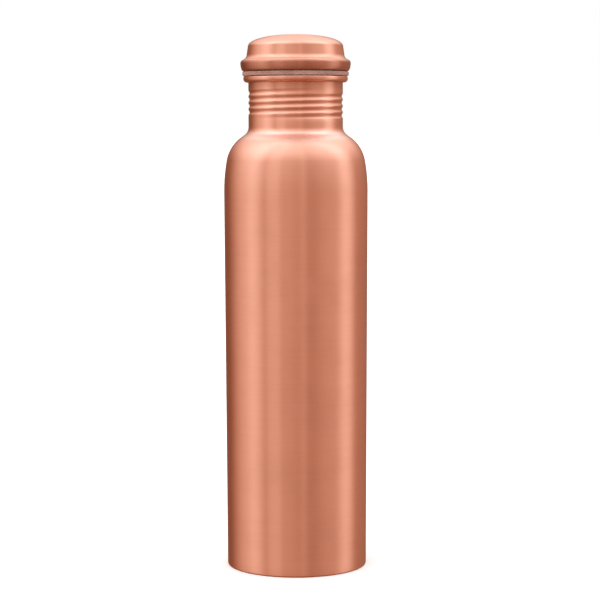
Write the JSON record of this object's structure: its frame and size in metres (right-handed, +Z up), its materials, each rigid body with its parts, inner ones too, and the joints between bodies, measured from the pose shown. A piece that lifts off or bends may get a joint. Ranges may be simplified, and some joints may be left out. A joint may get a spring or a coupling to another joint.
{
  "type": "water bottle",
  "caption": "Tall round copper bottle with a curved shoulder, a rolled thread in its neck and a curled lip, closed by a domed screw cap with a rolled bead over a soft sealing ring.",
  "frame": {"origin": "centre of the foot, on the plane that the bottle stands on", "axes": "+Z up along the bottle's axis, towards the cap; the bottle is round, so +X and +Y only fix the thread's start"},
  "size_m": [0.074, 0.074, 0.2744],
  "materials": {
    "copper_body": "satin copper, finely brushed round the axis",
    "copper_base": "satin copper, as pressed",
    "copper_cap": "satin copper, finely brushed round the axis",
    "copper_sleeve": "satin copper, as rolled",
    "silicone_gasket": "milky translucent silicone, matt"
  },
  "bodies": {
    "bottle": {"body_shell": "copper_body", "base_plate": "copper_base"},
    "gasket": {"cap_gasket": "silicone_gasket"},
    "cap": {"cap_crown": "copper_cap", "cap_thread_sleeve": "copper_sleeve"}
  },
  "joints": [
    {"name": "cap_lift", "type": "slide", "parent": "bottle", "child": "gasket", "axis": [0, 0, 1], "range_m": [0, 0.0229]},
    {"name": "cap_turn", "type": "hinge", "parent": "gasket", "child": "cap", "pos_m": [0, 0, 0.2555], "axis": [0, 0, 1], "range_deg": [0, 2520]}
  ],
  "couplings": [
    {"joint": "cap_lift", "follows": "cap_turn", "m_per_rad": 0.00052044}
  ]
}
